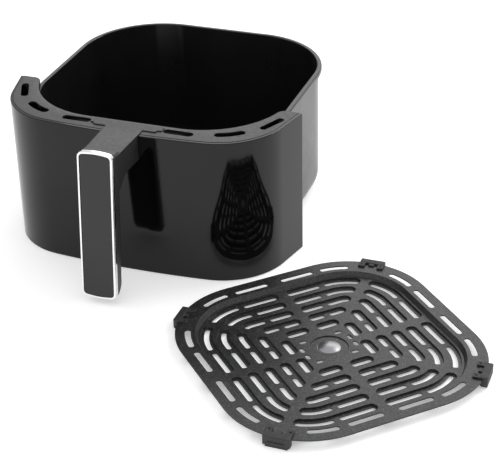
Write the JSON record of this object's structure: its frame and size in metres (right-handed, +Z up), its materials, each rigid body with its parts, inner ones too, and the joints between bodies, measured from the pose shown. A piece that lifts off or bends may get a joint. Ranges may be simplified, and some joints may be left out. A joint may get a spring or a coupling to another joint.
{
  "type": "air fryer drawer",
  "caption": "Air fryer drawer: deep non-stick pan, glossy wrap-around front, slotted rim cover and leaning handle, with its slotted crisper plate lifted out beside it.",
  "frame": {"origin": "centre of the pan's underside, on the surface it stands on", "axes": "+X right along the drawer's front, +Y from the handle towards the back, +Z up"},
  "size_m": [0.4568, 0.4395, 0.1356],
  "materials": {
    "nonstick_pan": "dark non-stick coating on steel, slightly satin",
    "gloss_shell": "high-gloss black plastic",
    "textured_plastic": "fine matt grain, dark grey",
    "black_plastic": "plain matt black moulding",
    "steel": "plain pressed steel",
    "chrome_trim": "bright plated trim",
    "gloss_panel": "high-gloss black insert",
    "zinc_steel": "zinc-plated fasteners",
    "nonstick_plate": "dark speckled non-stick coating on steel",
    "silicone": "soft black silicone"
  },
  "bodies": {
    "drawer": {"pan": "nonstick_pan", "front_shell": "gloss_shell", "rim_cover": "textured_plastic", "inner_frame": "black_plastic", "front_bracket": "steel", "side_bracket_right": "steel", "side_bracket_left": "steel", "handle_body": "textured_plastic", "handle_strap": "steel", "grip_bezel": "chrome_trim", "grip_panel": "gloss_panel", "strap_screws": "zinc_steel", "strap_nuts": "zinc_steel", "grip_screws": "zinc_steel", "cover_screws": "zinc_steel", "side_screws": "zinc_steel"},
    "crisper": {"crisper_plate": "nonstick_plate", "bumper_rear": "silicone", "bumper_left": "silicone", "bumper_front": "silicone", "bumper_right": "silicone"}
  },
  "joints": [
    {"name": "plate_lift", "type": "slide", "parent": "drawer", "child": "crisper", "axis": [0, 0, 1], "range_m": [0, 0.2]}
  ]
}
